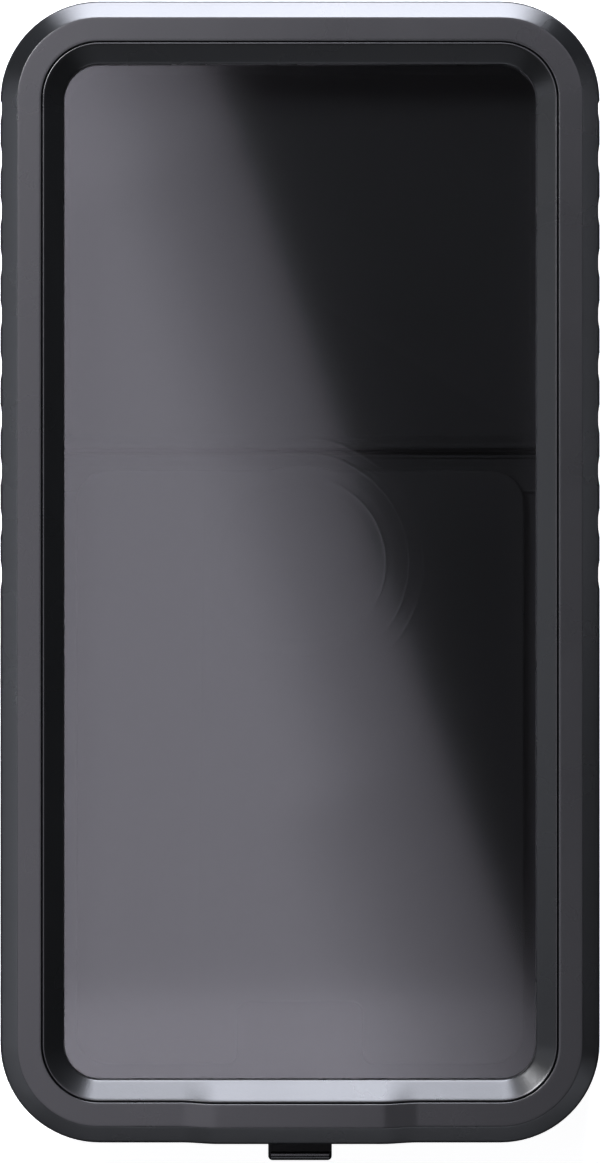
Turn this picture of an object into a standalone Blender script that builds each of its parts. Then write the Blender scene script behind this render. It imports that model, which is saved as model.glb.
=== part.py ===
"""Universal phone case: a rugged two-part weatherproof case that holds a phone behind a clear touch film.

Metres, +Z up. The case lies on its back on z = 0 with its window facing up and its top towards +Y.
x = 0 is the middle of its width and y = 0 is the middle of its length with the pull tab counted in.
"""

import math

import bmesh
import bpy
from mathutils import Matrix

# Outline of the whole case, and the air left between pieces that touch
CASE_WIDTH = 0.0940
CASE_LENGTH = 0.1790
CORNER_RADIUS = 0.0156
GAP = 0.0003
ARC_STEPS = 8
ROUND_SIDES = 48

# Rear shell
BACK_WALL = 0.0024
BACK_EDGE_RADIUS = 0.0020
SIDE_WALL = 0.0034
FLOOR_FILLET = 0.0010

# Phone pad, with the notch that leaves room for a charging plug
PAD_WIDTH = 0.0706
PAD_LENGTH = 0.0937
PAD_SKIN = 0.0008
PAD_CORNER = 0.0052
PAD_FROM_BOTTOM = 0.0116
PAD_NOTCH_WIDTH = 0.0198
PAD_NOTCH_DEPTH = 0.0098
PAD_NOTCH_RADIUS = 0.0018

# Space that the phone fills, from the pad to the film
PHONE_SPACE = 0.0080

# Clear film and the bezel that frames it
FILM_THICKNESS = 0.0004
FILM_BOND_WIDTH = 0.0015
WINDOW_INSET = 0.01003
BEZEL_LIP = 0.0010
BEZEL_LIP_ROUND = 0.0003
BEZEL_RISE = 0.0021
BEZEL_FLANGE = 0.0014
BEZEL_STEP_WIDTH = 0.0014
SEAM_WIDTH = 0.0003

# Front frame: skirt, chamfer, flat band, ledge under the bezel, and the rib that plugs into the shell
SKIRT_INSET = 0.0002
SKIRT_HEIGHT = 0.0009
CHAMFER_WIDTH = 0.00268
CHAMFER_DROP = 0.0028
BAND_WIDTH = 0.00367
EDGE_EASE = 0.00015
RIB_DEPTH = 0.0032
RIB_THICKNESS = 0.0025
RIB_LEAD_IN = 0.0004

# Silicone lid seal, in a groove on the rib's outer side
LID_SEAL_WIDTH = 0.0010
LID_SEAL_HEIGHT = 0.0009
LID_SEAL_LAND = 0.0007
LID_SEAL_CREST = 0.00025

# Raised stretch of the bottom rim, which lifts the seal over the charging opening
BUMP_WIDTH = 0.0314
BUMP_BLEND = 0.0045
BUMP_RISE = 0.0009
BUMP_STEPS = 6

# Grip flutes down both long sides of the shell
FLUTE_COUNT = 10
FLUTE_PITCH = 0.00815
FLUTE_FROM_TOP = 0.01656
FLUTE_RADIUS = 0.0100
FLUTE_DEPTH = 0.00025

# Camera opening in the upper back, and its hinged flap
GROOVE_FROM_TOP = 0.0708
OPENING_INSET = 0.0080
OPENING_LOW_RADIUS = 0.0020
RECESS_LEDGE = 0.0017
FLAP_FLANGE = 0.0010
FLAP_FLOOR = 0.0014
FLAP_RIM = 0.0018
RIM_HEIGHT_ABOVE_BAR = 0.0002
RIM_CHAMFER = 0.00035
FLAP_SEAL_WIDTH = 0.0007
FLAP_SEAL_HEIGHT = 0.0008
FLAP_SEAL_CREST = 0.0002
SCOOP_RADIUS = 0.0070
SCOOP_DEPTH = 0.0009

# Flap hinge: interleaved knuckles on one steel pin, behind a bar that closes the cavity off
PIN_RADIUS = 0.0004
KNUCKLE_RADIUS = 0.00115
KNUCKLE_FLUSH = 0.0001
KNUCKLE_COUNT = 5
HINGE_END_MARGIN = 0.0030
HINGE_SLOT = 0.0004
BAR_THICKNESS = 0.0008
BAR_FOOT = 0.0016
DAM_WIDTH = 0.0013
WEB_OVERLAP = 0.0004

# Twist-lock socket in the back
SOCKET_FROM_TOP = 0.0880
SOCKET_RADIUS = 0.0116
SOCKET_STEP = 0.0014
SOCKET_STEP_HEIGHT = 0.0011
SOCKET_BORE_RADIUS = 0.0086
SOCKET_DEPTH = 0.0028
SOCKET_ROOF = 0.0008
LUG_COUNT = 4
LUG_REACH = 0.0015
LUG_THICKNESS = 0.0009
LUG_ANGLE = math.radians(42)

# Charging opening in the bottom wall, and its hinged plug with the pull tab
PORT_WIDTH = 0.0200
PORT_HEIGHT = 0.0056
PORT_LOW = 0.0048
PORT_RADIUS = 0.0020
COVER_MARGIN_X = 0.0035
COVER_MARGIN_ABOVE = 0.0010
COVER_MARGIN_BELOW = 0.0024
COVER_THICKNESS = 0.0014
COVER_SINK = 0.0002
COVER_CORNER = 0.0012
TRUNNION_RADIUS = 0.00045
TRUNNION_REACH = 0.0012
PLUG_TAPER = 0.0008
TAB_WIDTH = 0.0100
TAB_REACH = 0.0030
TAB_THICKNESS = 0.0012
TAB_BELOW_COVER_TOP = 0.0004
TAB_CORNER = 0.0005
TAB_BEAD_RADIUS = 0.00045
TAB_BEAD_FROM_TIP = 0.0008

# Heights that follow from the sizes above
KNUCKLE_Z = KNUCKLE_FLUSH + KNUCKLE_RADIUS
HINGE_ROOF = KNUCKLE_Z + KNUCKLE_RADIUS + GAP
BAR_TOP = HINGE_ROOF + BAR_THICKNESS
RIM_TOP = BAR_TOP + RIM_HEIGHT_ABOVE_BAR
PAD_LOW = BACK_WALL + GAP
PAD_TOP = BAR_TOP + GAP + PAD_SKIN
FILM_LOW = PAD_TOP + PHONE_SPACE
FILM_TOP = FILM_LOW + FILM_THICKNESS
BEZEL_LOW = FILM_TOP + GAP
LIP_TOP = BEZEL_LOW + BEZEL_LIP
FRAME_TOP = LIP_TOP + BEZEL_RISE
CHAMFER_LOW = FRAME_TOP - CHAMFER_DROP
FRAME_LOW = CHAMFER_LOW - SKIRT_HEIGHT
WALL_TOP = FRAME_LOW - GAP
RIB_LOW = FRAME_LOW - RIB_DEPTH

# Distances inwards from the case's outline
BAND_OUTER = SKIRT_INSET + CHAMFER_WIDTH
BAND_INNER = BAND_OUTER + BAND_WIDTH
BEZEL_OUTER = BAND_INNER + SEAM_WIDTH
BEZEL_STEP = BEZEL_OUTER + BEZEL_STEP_WIDTH
RIB_OUTER = SIDE_WALL + GAP
RIB_INNER = RIB_OUTER + RIB_THICKNESS
RECESS_INSET = OPENING_INSET - RECESS_LEDGE

# Places along the length
Y_CENTRE = TAB_REACH / 2
Y_TOP = Y_CENTRE + CASE_LENGTH / 2
Y_BOTTOM = Y_CENTRE - CASE_LENGTH / 2
GROOVE_Y = Y_TOP - GROOVE_FROM_TOP
DAM_EDGE_Y = GROOVE_Y - GAP / 2
HINGE_Y = DAM_EDGE_Y - DAM_WIDTH - GAP - KNUCKLE_RADIUS
HINGE_WALL_Y = HINGE_Y - KNUCKLE_RADIUS - HINGE_SLOT
SOCKET_Y = Y_TOP - SOCKET_FROM_TOP
OPENING_HALF = CASE_WIDTH / 2 - OPENING_INSET
HINGE_HALF = OPENING_HALF - HINGE_END_MARGIN
COVER_LOW = PORT_LOW - COVER_MARGIN_BELOW
COVER_HIGH = PORT_LOW + PORT_HEIGHT + COVER_MARGIN_ABOVE
COVER_HALF = PORT_WIDTH / 2 + COVER_MARGIN_X
COVER_BEAD = COVER_THICKNESS / 2
COVER_AXIS_Y = Y_BOTTOM + COVER_SINK + COVER_BEAD
COVER_AXIS_Z = COVER_LOW + GAP + COVER_BEAD
POCKET_DEPTH = COVER_SINK + COVER_THICKNESS + GAP

# Cutters run this far past what they cut
OVERRUN = 0.0010


def clear_scene():
    for item in list(bpy.data.objects):
        bpy.data.objects.remove(item, do_unlink=True)


def linear(channel):
    return channel / 12.92 if channel <= 0.04045 else ((channel + 0.055) / 1.055) ** 2.4


def finish(name, srgb, roughness, metallic=0.0, transmission=0.0):
    """A Principled material from an sRGB colour given as three numbers from 0 to 255."""
    material = bpy.data.materials.new(name)
    material.use_nodes = True
    shader = material.node_tree.nodes["Principled BSDF"]
    shader.inputs["Base Color"].default_value = [*(linear(c / 255) for c in srgb), 1.0]
    shader.inputs["Roughness"].default_value = roughness
    shader.inputs["Metallic"].default_value = metallic
    shader.inputs["Transmission Weight"].default_value = transmission
    return material


def bump(x, y):
    """Share of the rim's rise at a point: 1 along the middle of the bottom edge, 0 elsewhere."""
    if y > Y_CENTRE:
        return 0.0
    inside = 0.5 - (abs(x) - BUMP_WIDTH / 2) / BUMP_BLEND
    inside = min(max(inside, 0.0), 1.0)
    return inside * inside * (3 - 2 * inside)


def bump_stations():
    """Points along the bottom edge where the rim's rise changes."""
    steps = [k / BUMP_STEPS - 0.5 for k in range(BUMP_STEPS + 1)]
    right = [BUMP_WIDTH / 2 + BUMP_BLEND * step for step in steps]
    return [-x for x in reversed(right)] + right


def rectangle(left, right, low, high, radius, low_radius=None, stations=()):
    """Corners of an upright rectangle, anticlockwise, as (x, y, radius). Stations lie on its low edge."""
    base = radius if low_radius is None else low_radius
    along = [(x, low, None) for x in stations]
    return [(left, low, base), *along, (right, low, base), (right, high, radius), (left, high, radius)]


def heading(start, end):
    dx, dy = end[0] - start[0], end[1] - start[1]
    length = math.hypot(dx, dy)
    return dx / length, dy / length


def outline(corners, inset=0.0):
    """Points of a right-angled outline moved inwards by inset. Every corner arc keeps its centre."""
    points = []
    for i, (x, y, radius) in enumerate(corners):
        before = heading(corners[i - 1], corners[i])
        after = heading(corners[i], corners[(i + 1) % len(corners)])
        in_x, in_y = -after[1], after[0]
        if radius is None:
            points.append((x + in_x * inset, y + in_y * inset))
            continue
        turn = round(before[0] * after[1] - before[1] * after[0])
        side_x, side_y = -before[1], before[0]
        bend = max(radius - turn * inset, GAP)
        shift = inset + turn * bend
        centre_x, centre_y = x + (in_x + side_x) * shift, y + (in_y + side_y) * shift
        start = math.atan2(-turn * side_y, -turn * side_x)
        for step in range(ARC_STEPS + 1):
            angle = start + turn * math.pi / 2 * step / ARC_STEPS
            points.append((centre_x + bend * math.cos(angle), centre_y + bend * math.sin(angle)))
    return points


def add_object(name, mesh, material=None, smooth_angle=math.radians(32)):
    """Turns a bmesh into a named object, with its faces out and its round faces smooth."""
    bmesh.ops.recalc_face_normals(mesh, faces=mesh.faces)
    data = bpy.data.meshes.new(name)
    mesh.to_mesh(data)
    mesh.free()
    data.shade_smooth()
    data.set_sharp_from_angle(angle=smooth_angle)
    item = bpy.data.objects.new(name, data)
    bpy.context.scene.collection.objects.link(item)
    if material:
        data.materials.append(material)
    return item


def loft(name, corners, rows, material=None, ring=False, place=None):
    """Skin over copies of one outline.

    Each row is (inset, height) or (inset, height, share of the rim's rise).
    A ring joins its last row to its first. Any other loft is closed by a flat face at each end.
    """
    mesh = bmesh.new()
    loops = []
    for inset, height, *rise in rows:
        share = rise[0] if rise else 0.0
        points = outline(corners, inset)
        loops.append([mesh.verts.new((x, y, height + share * BUMP_RISE * bump(x, y))) for x, y in points])
    count = len(loops[0])
    for low, high in zip(loops, loops[1:] + loops[:1] if ring else loops[1:]):
        for i in range(count):
            j = (i + 1) % count
            mesh.faces.new((low[i], low[j], high[j], high[i]))
    if not ring:
        mesh.faces.new(loops[0][::-1])
        mesh.faces.new(loops[-1])
    if place:
        mesh.transform(place)
    return add_object(name, mesh, material)


def strip(name, profile, left, right, material=None):
    """A (y, z) profile drawn out along X."""
    mesh = bmesh.new()
    face = mesh.faces.new([mesh.verts.new((left, y, z)) for y, z in profile])
    drawn = bmesh.ops.extrude_face_region(mesh, geom=[face])
    moved = [v for v in drawn["geom"] if isinstance(v, bmesh.types.BMVert)]
    bmesh.ops.translate(mesh, verts=moved, vec=(right - left, 0, 0))
    return add_object(name, mesh, material)


def rod(name, radius, start, end, material=None, sides=ROUND_SIDES):
    """A round bar between two points that lie on a line along X or along Z."""
    along_x = start[0] != end[0]
    length = abs(end[0] - start[0]) if along_x else abs(end[2] - start[2])
    turn = Matrix.Rotation(math.pi / 2, 4, "Y") if along_x else Matrix()
    middle = [(a + b) / 2 for a, b in zip(start, end)]
    mesh = bmesh.new()
    bmesh.ops.create_cone(
        mesh, cap_ends=True, segments=sides, radius1=radius, radius2=radius, depth=length,
        matrix=Matrix.Translation(middle) @ turn,
    )
    return add_object(name, mesh, material)


def combine(target, tool, operation):
    """Cuts a tool from a piece, or joins it on. The tool itself is only a guide."""
    step = target.modifiers.new(tool.name, "BOOLEAN")
    step.operation = operation
    step.object = tool
    tool.hide_render = True
    tool.display_type = "WIRE"


def cut(target, *tools):
    for tool in tools:
        combine(target, tool, "DIFFERENCE")


def join(target, *tools):
    for tool in tools:
        combine(target, tool, "UNION")


def hang(name, position, *items):
    """Parents moving pieces to an empty that lies on their joint's axis, and leaves them where they are."""
    pivot = bpy.data.objects.new(name, None)
    pivot.empty_display_size = CORNER_RADIUS / 2
    pivot.location = position
    bpy.context.scene.collection.objects.link(pivot)
    for item in items:
        item.parent = pivot
        item.location = [-value for value in position]


def case_corners():
    half = CASE_WIDTH / 2
    return rectangle(-half, half, Y_BOTTOM, Y_TOP, CORNER_RADIUS, stations=bump_stations())


def opening_corners(inset, low_edge, low_radius=OPENING_LOW_RADIUS):
    """The camera opening's outline: concentric with the case at its top, square across at its low edge."""
    half = CASE_WIDTH / 2 - inset
    return rectangle(-half, half, low_edge, Y_TOP - inset, CORNER_RADIUS - inset, low_radius)


def quarter_round(radius, steps=3):
    """Rows of an outer bottom edge rounded to a quarter circle, from the flat up to the wall."""
    angles = [math.pi / 2 * step / steps for step in range(steps + 1)]
    return [(radius * (1 - math.sin(angle)), radius * (1 - math.cos(angle))) for angle in angles]


def on_bottom_wall(depth=0.0):
    """Places a loft on the bottom wall: its outline lies in X and Z, and its rows run towards -Y."""
    return Matrix.Translation((0, Y_BOTTOM + depth, 0)) @ Matrix.Rotation(math.pi / 2, 4, "X")


def grip_flutes():
    """Upright cylinders that stand outside both long sides and bite into the shell."""
    mesh = bmesh.new()
    middle = WALL_TOP / 2
    for side in (-1, 1):
        x = side * (CASE_WIDTH / 2 + FLUTE_RADIUS - FLUTE_DEPTH)
        for step in range(FLUTE_COUNT):
            y = Y_TOP - FLUTE_FROM_TOP - step * FLUTE_PITCH
            bmesh.ops.create_cone(
                mesh, cap_ends=True, segments=ROUND_SIDES, radius1=FLUTE_RADIUS, radius2=FLUTE_RADIUS,
                depth=WALL_TOP + 2 * OVERRUN, matrix=Matrix.Translation((x, y, middle)),
            )
    return add_object("flute_cutter", mesh)


def front_frame(material):
    """Outer ring of the lid: one section carried round the case, raised over the charging opening."""
    ledge = FRAME_TOP - BEZEL_FLANGE - GAP
    groove_low = RIB_LOW + LID_SEAL_LAND
    groove_high = groove_low + LID_SEAL_HEIGHT + 2 * GAP
    groove_floor = RIB_OUTER + LID_SEAL_WIDTH + GAP
    ledge_inner = BEZEL_STEP - GAP
    section = [
        (SKIRT_INSET, FRAME_LOW, 1),
        (SKIRT_INSET, CHAMFER_LOW, 1),
        (BAND_OUTER - EDGE_EASE, FRAME_TOP - EDGE_EASE, 1),
        (BAND_OUTER + EDGE_EASE, FRAME_TOP, 1),
        (BAND_INNER - EDGE_EASE, FRAME_TOP, 1),
        (BAND_INNER, FRAME_TOP - EDGE_EASE, 1),
        (BAND_INNER, ledge, 1),
        (ledge_inner, ledge, 1),
        (ledge_inner, FILM_LOW, 0),
        (RIB_INNER, FILM_LOW, 0),
        (RIB_INNER, RIB_LOW, 1),
        (RIB_OUTER + RIB_LEAD_IN, RIB_LOW, 1),
        (RIB_OUTER, RIB_LOW + RIB_LEAD_IN, 1),
        (RIB_OUTER, groove_low, 1),
        (groove_floor, groove_low, 1),
        (groove_floor, groove_high, 1),
        (RIB_OUTER, groove_high, 1),
        (RIB_OUTER, FRAME_LOW, 1),
    ]
    return loft("front_frame", case_corners(), section, material, ring=True)


def window_bezel(material):
    """Sloped inner ring that sits in the frame behind the seam and holds the film from above."""
    flange_low = FRAME_TOP - BEZEL_FLANGE
    section = [
        (BEZEL_OUTER, FRAME_TOP - EDGE_EASE, 1),
        (BEZEL_OUTER + EDGE_EASE, FRAME_TOP, 1),
        (WINDOW_INSET - BEZEL_LIP_ROUND, LIP_TOP, 0),
        (WINDOW_INSET, LIP_TOP - BEZEL_LIP_ROUND, 0),
        (WINDOW_INSET, BEZEL_LOW, 0),
        (BEZEL_STEP, BEZEL_LOW, 0),
        (BEZEL_STEP, flange_low, 1),
        (BEZEL_OUTER, flange_low, 1),
    ]
    return loft("window_bezel", case_corners(), section, material, ring=True)


def touch_film(material):
    rows = [(WINDOW_INSET - FILM_BOND_WIDTH, FILM_LOW), (WINDOW_INSET - FILM_BOND_WIDTH, FILM_TOP)]
    return loft("touch_film", case_corners(), rows, material)


def lid_seal(material):
    """Silicone ring in the rib's groove, with a crested outer side that wipes along the shell's wall."""
    low = RIB_LOW + LID_SEAL_LAND + GAP
    high = low + LID_SEAL_HEIGHT
    section = [
        (RIB_OUTER + LID_SEAL_WIDTH, low, 1),
        (RIB_OUTER + LID_SEAL_WIDTH, high, 1),
        (RIB_OUTER + LID_SEAL_CREST, high, 1),
        (RIB_OUTER, (low + high) / 2, 1),
        (RIB_OUTER + LID_SEAL_CREST, low, 1),
    ]
    return loft("lid_seal", case_corners(), section, material, ring=True)


def shell_tray(material):
    """Back wall and side walls as one skin: up the outside, over the rim and down the inside."""
    rows = [
        *quarter_round(BACK_EDGE_RADIUS),
        (0, WALL_TOP, 1),
        (SIDE_WALL, WALL_TOP, 1),
        (SIDE_WALL, BACK_WALL + FLOOR_FILLET),
        (SIDE_WALL + FLOOR_FILLET, BACK_WALL),
    ]
    return loft("rear_shell", case_corners(), rows, material)


def hinge_bar():
    """Bar across the shell below the camera opening: it roofs the hinge, and its dam faces the flap's rim."""
    half = OPENING_HALF + FLAP_RIM
    foot = HINGE_WALL_Y - BAR_FOOT
    back = DAM_EDGE_Y - DAM_WIDTH
    profile = [
        (foot, BACK_WALL - WEB_OVERLAP),
        (DAM_EDGE_Y, BACK_WALL - WEB_OVERLAP),
        (DAM_EDGE_Y, RIM_TOP - RIM_CHAMFER),
        (DAM_EDGE_Y - RIM_CHAMFER, RIM_TOP),
        (back + RIM_CHAMFER, RIM_TOP),
        (back, BAR_TOP),
        (foot + RIM_CHAMFER, BAR_TOP),
        (foot, BAR_TOP - RIM_CHAMFER),
    ]
    return strip("bar_guide", profile, -half, half)


def knuckle_spans():
    """X range of each knuckle, left to right, with a running gap between neighbours."""
    pitch = 2 * HINGE_HALF / KNUCKLE_COUNT
    edges = [-HINGE_HALF + pitch * k for k in range(KNUCKLE_COUNT + 1)]
    return [(low + GAP / 2, high - GAP / 2) for low, high in zip(edges, edges[1:])]


def knuckle_profile(side, reach, root_low, root_high):
    """A half round about the pin, drawn back to its plate. side is 1 towards the flap, -1 away."""
    steps = ROUND_SIDES // 4
    angles = [math.pi / 2 + side * math.pi * step / steps for step in range(steps + 1)]
    arc = [(HINGE_Y + KNUCKLE_RADIUS * math.cos(a), KNUCKLE_Z + KNUCKLE_RADIUS * math.sin(a)) for a in angles]
    return [*arc, (reach, root_low), (reach, root_high)]


def shell_knuckles():
    reach = HINGE_WALL_Y - WEB_OVERLAP
    low, high = KNUCKLE_FLUSH, KNUCKLE_Z + KNUCKLE_RADIUS
    profile = knuckle_profile(-1, reach, low, high)
    return [
        strip(f"shell_knuckle_{k}_guide", profile, *span)
        for k, span in enumerate(knuckle_spans()) if k % 2 == 0
    ]


def flap_low_edge():
    """Low edge of the flap's flange, which starts clear of the shell's knuckles."""
    return HINGE_Y + KNUCKLE_RADIUS + GAP


def flap_knuckles():
    low, high = KNUCKLE_FLUSH, FLAP_FLANGE - KNUCKLE_FLUSH
    profile = knuckle_profile(1, flap_low_edge() + WEB_OVERLAP, low, high)
    return [
        strip(f"flap_knuckle_{k}_guide", profile, *span)
        for k, span in enumerate(knuckle_spans()) if k % 2 == 1
    ]


def pin_bore(name):
    reach = OPENING_HALF
    return rod(name, PIN_RADIUS + GAP, (-reach, HINGE_Y, KNUCKLE_Z), (reach, HINGE_Y, KNUCKLE_Z), sides=16)


def flap_hinge_pin(material):
    ends = (-HINGE_HALF, HINGE_Y, KNUCKLE_Z), (HINGE_HALF, HINGE_Y, KNUCKLE_Z)
    return rod("flap_hinge_pin", PIN_RADIUS, *ends, material, sides=16)


def camera_cutters():
    """The camera opening, the recess for the flap's flange round it, and the slot for the knuckles."""
    below = -OVERRUN
    opening = loft(
        "opening_cutter", opening_corners(OPENING_INSET, DAM_EDGE_Y),
        [(0, below), (0, RIM_TOP + OVERRUN)],
    )
    recess = loft(
        "recess_cutter", opening_corners(RECESS_INSET, HINGE_WALL_Y, GAP),
        [(0, below), (0, FLAP_FLANGE + GAP)],
    )
    slot = loft(
        "hinge_slot_cutter",
        rectangle(-OPENING_HALF, OPENING_HALF, HINGE_WALL_Y, DAM_EDGE_Y - DAM_WIDTH, GAP),
        [(0, below), (0, HINGE_ROOF)],
    )
    return opening, recess, slot


def finger_scoop():
    """A shallow dish at the recess's top edge, where a nail gets under the flap."""
    mesh = bmesh.new()
    ball = (SCOOP_RADIUS**2 + SCOOP_DEPTH**2) / (2 * SCOOP_DEPTH)
    bmesh.ops.create_uvsphere(
        mesh, u_segments=ROUND_SIDES, v_segments=ROUND_SIDES, radius=ball,
        matrix=Matrix.Translation((0, Y_TOP - RECESS_INSET, SCOOP_DEPTH - ball)),
    )
    below = -OVERRUN
    kept = bmesh.ops.bisect_plane(
        mesh, geom=mesh.verts[:] + mesh.edges[:] + mesh.faces[:], plane_co=(0, 0, below),
        plane_no=(0, 0, -1), clear_outer=True,
    )
    rim = [edge for edge in kept["geom_cut"] if isinstance(edge, bmesh.types.BMEdge)]
    bmesh.ops.edgeloop_fill(mesh, edges=rim)
    return add_object("scoop_cutter", mesh)


def port_corners(inset=0.0):
    half = PORT_WIDTH / 2 - inset
    return rectangle(-half, half, PORT_LOW + inset, PORT_LOW + PORT_HEIGHT - inset, PORT_RADIUS - inset)


def port_cutters():
    """The charging opening, the pocket for its cover, and the blind holes for the cover's trunnions."""
    port = loft(
        "port_cutter", port_corners(), [(0, -SIDE_WALL - OVERRUN), (0, OVERRUN)], place=on_bottom_wall()
    )
    corners = rectangle(
        -COVER_HALF, COVER_HALF, COVER_LOW, COVER_HIGH, COVER_CORNER + GAP, low_radius=GAP
    )
    pocket = loft("pocket_cutter", corners, [(0, -POCKET_DEPTH), (0, OVERRUN)], place=on_bottom_wall())
    reach = COVER_HALF + TRUNNION_REACH
    holes = rod(
        "trunnion_cutter", TRUNNION_RADIUS + GAP,
        (-reach, COVER_AXIS_Y, COVER_AXIS_Z), (reach, COVER_AXIS_Y, COVER_AXIS_Z), sides=16,
    )
    return port, pocket, holes


def socket_seat():
    """Stepped round hole that the socket drops into from inside."""
    outer = rod(
        "socket_seat_cutter", SOCKET_RADIUS + GAP,
        (0, SOCKET_Y, SOCKET_STEP_HEIGHT), (0, SOCKET_Y, BACK_WALL + OVERRUN),
    )
    inner = rod(
        "socket_mouth_cutter", SOCKET_RADIUS - SOCKET_STEP + GAP,
        (0, SOCKET_Y, -OVERRUN), (0, SOCKET_Y, BACK_WALL + OVERRUN),
    )
    return outer, inner


def rear_shell(material):
    shell = shell_tray(material)
    join(shell, hinge_bar())
    cut(shell, *camera_cutters(), finger_scoop())
    join(shell, *shell_knuckles())
    cut(shell, pin_bore("shell_bore_cutter"), *port_cutters(), *socket_seat(), grip_flutes())
    return shell


def camera_flap(material):
    """Shallow tray that closes the camera opening: flange outside, grooved rim inside, knuckles below."""
    rim_corners = opening_corners(OPENING_INSET + GAP, DAM_EDGE_Y + GAP, OPENING_LOW_RADIUS - GAP)
    groove = FLAP_SEAL_WIDTH + GAP
    groove_top = FLAP_FLANGE + FLAP_SEAL_HEIGHT + 2 * GAP
    rows = [
        (groove, FLAP_FLANGE - WEB_OVERLAP),
        (groove, groove_top),
        (0, groove_top),
        (0, RIM_TOP - RIM_CHAMFER),
        (RIM_CHAMFER, RIM_TOP),
        (FLAP_RIM - RIM_CHAMFER, RIM_TOP),
        (FLAP_RIM, RIM_TOP - RIM_CHAMFER),
        (FLAP_RIM, FLAP_FLOOR),
    ]
    flap = loft("camera_flap", rim_corners, rows, material)
    flange_corners = opening_corners(RECESS_INSET + GAP, flap_low_edge(), GAP)
    flange = loft("flange_guide", flange_corners, [(0, 0), (0, FLAP_FLANGE)])
    join(flap, flange, *flap_knuckles())
    cut(flap, pin_bore("flap_bore_cutter"))
    return flap


def flap_seal(material):
    """Silicone ring round the flap's rim, crested towards the opening's wall."""
    corners = opening_corners(OPENING_INSET + GAP, DAM_EDGE_Y + GAP, OPENING_LOW_RADIUS - GAP)
    low = FLAP_FLANGE + GAP
    high = low + FLAP_SEAL_HEIGHT
    section = [
        (FLAP_SEAL_WIDTH, low),
        (FLAP_SEAL_WIDTH, high),
        (FLAP_SEAL_CREST, high),
        (0, (low + high) / 2),
        (FLAP_SEAL_CREST, low),
    ]
    return loft("flap_seal", corners, section, material, ring=True)


def lug_mouth():
    """Outline of the socket's mouth: a round hole with gaps between the lugs, as one closed loop."""
    points = []
    pitch = 2 * math.pi / LUG_COUNT
    steps = ROUND_SIDES // LUG_COUNT // 2
    for lug in range(LUG_COUNT):
        for radius, start, end in (
            (SOCKET_BORE_RADIUS - LUG_REACH, lug * pitch - LUG_ANGLE / 2, lug * pitch + LUG_ANGLE / 2),
            (SOCKET_BORE_RADIUS, lug * pitch + LUG_ANGLE / 2, (lug + 1) * pitch - LUG_ANGLE / 2),
        ):
            for step in range(steps + 1):
                angle = start + (end - start) * step / steps
                points.append((radius * math.cos(angle), SOCKET_Y + radius * math.sin(angle)))
    return points


def socket_mouth_cutter():
    mesh = bmesh.new()
    face = mesh.faces.new([mesh.verts.new((x, y, -OVERRUN)) for x, y in lug_mouth()])
    drawn = bmesh.ops.extrude_face_region(mesh, geom=[face])
    moved = [v for v in drawn["geom"] if isinstance(v, bmesh.types.BMVert)]
    bmesh.ops.translate(mesh, verts=moved, vec=(0, 0, 2 * OVERRUN + LUG_THICKNESS))
    return add_object("lug_mouth_cutter", mesh)


def mount_socket(material):
    """Round cup with lugs at its mouth. A head on a stem goes in between the lugs and turns behind them."""
    roof = SOCKET_DEPTH + SOCKET_ROOF
    socket = rod(
        "mount_socket", SOCKET_RADIUS - SOCKET_STEP, (0, SOCKET_Y, 0), (0, SOCKET_Y, roof), material
    )
    flange = rod(
        "socket_flange_guide", SOCKET_RADIUS,
        (0, SOCKET_Y, SOCKET_STEP_HEIGHT + GAP), (0, SOCKET_Y, BACK_WALL),
    )
    bore = rod(
        "socket_bore_cutter", SOCKET_BORE_RADIUS, (0, SOCKET_Y, LUG_THICKNESS), (0, SOCKET_Y, SOCKET_DEPTH)
    )
    join(socket, flange)
    cut(socket, bore, socket_mouth_cutter())
    return socket


def phone_pad(material):
    """Soft pad under the phone, stepped over the hinge bar and hollowed under the socket's roof."""
    half, notch = PAD_WIDTH / 2, PAD_NOTCH_WIDTH / 2
    low = Y_BOTTOM + PAD_FROM_BOTTOM
    high = low + PAD_LENGTH
    inner = low + PAD_NOTCH_DEPTH
    corners = [
        (-half, low, PAD_CORNER),
        (-notch, low, PAD_NOTCH_RADIUS),
        (-notch, inner, PAD_NOTCH_RADIUS),
        (notch, inner, PAD_NOTCH_RADIUS),
        (notch, low, PAD_NOTCH_RADIUS),
        (half, low, PAD_CORNER),
        (half, high, PAD_CORNER),
        (-half, high, PAD_CORNER),
    ]
    ease = PAD_SKIN / 3
    rows = [(0, PAD_LOW), (0, PAD_TOP - ease), (ease, PAD_TOP)]
    pad = loft("phone_pad", corners, rows, material)
    step_y = HINGE_WALL_Y - BAR_FOOT - GAP
    step = loft(
        "pad_step_cutter",
        rectangle(-half - OVERRUN, half + OVERRUN, step_y, high + OVERRUN, GAP),
        [(0, PAD_LOW - OVERRUN), (0, BAR_TOP + GAP)],
    )
    dome = rod(
        "pad_dome_cutter", SOCKET_RADIUS + GAP,
        (0, SOCKET_Y, PAD_LOW - OVERRUN), (0, SOCKET_Y, SOCKET_DEPTH + SOCKET_ROOF + GAP),
    )
    cut(pad, step, dome)
    return pad


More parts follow.
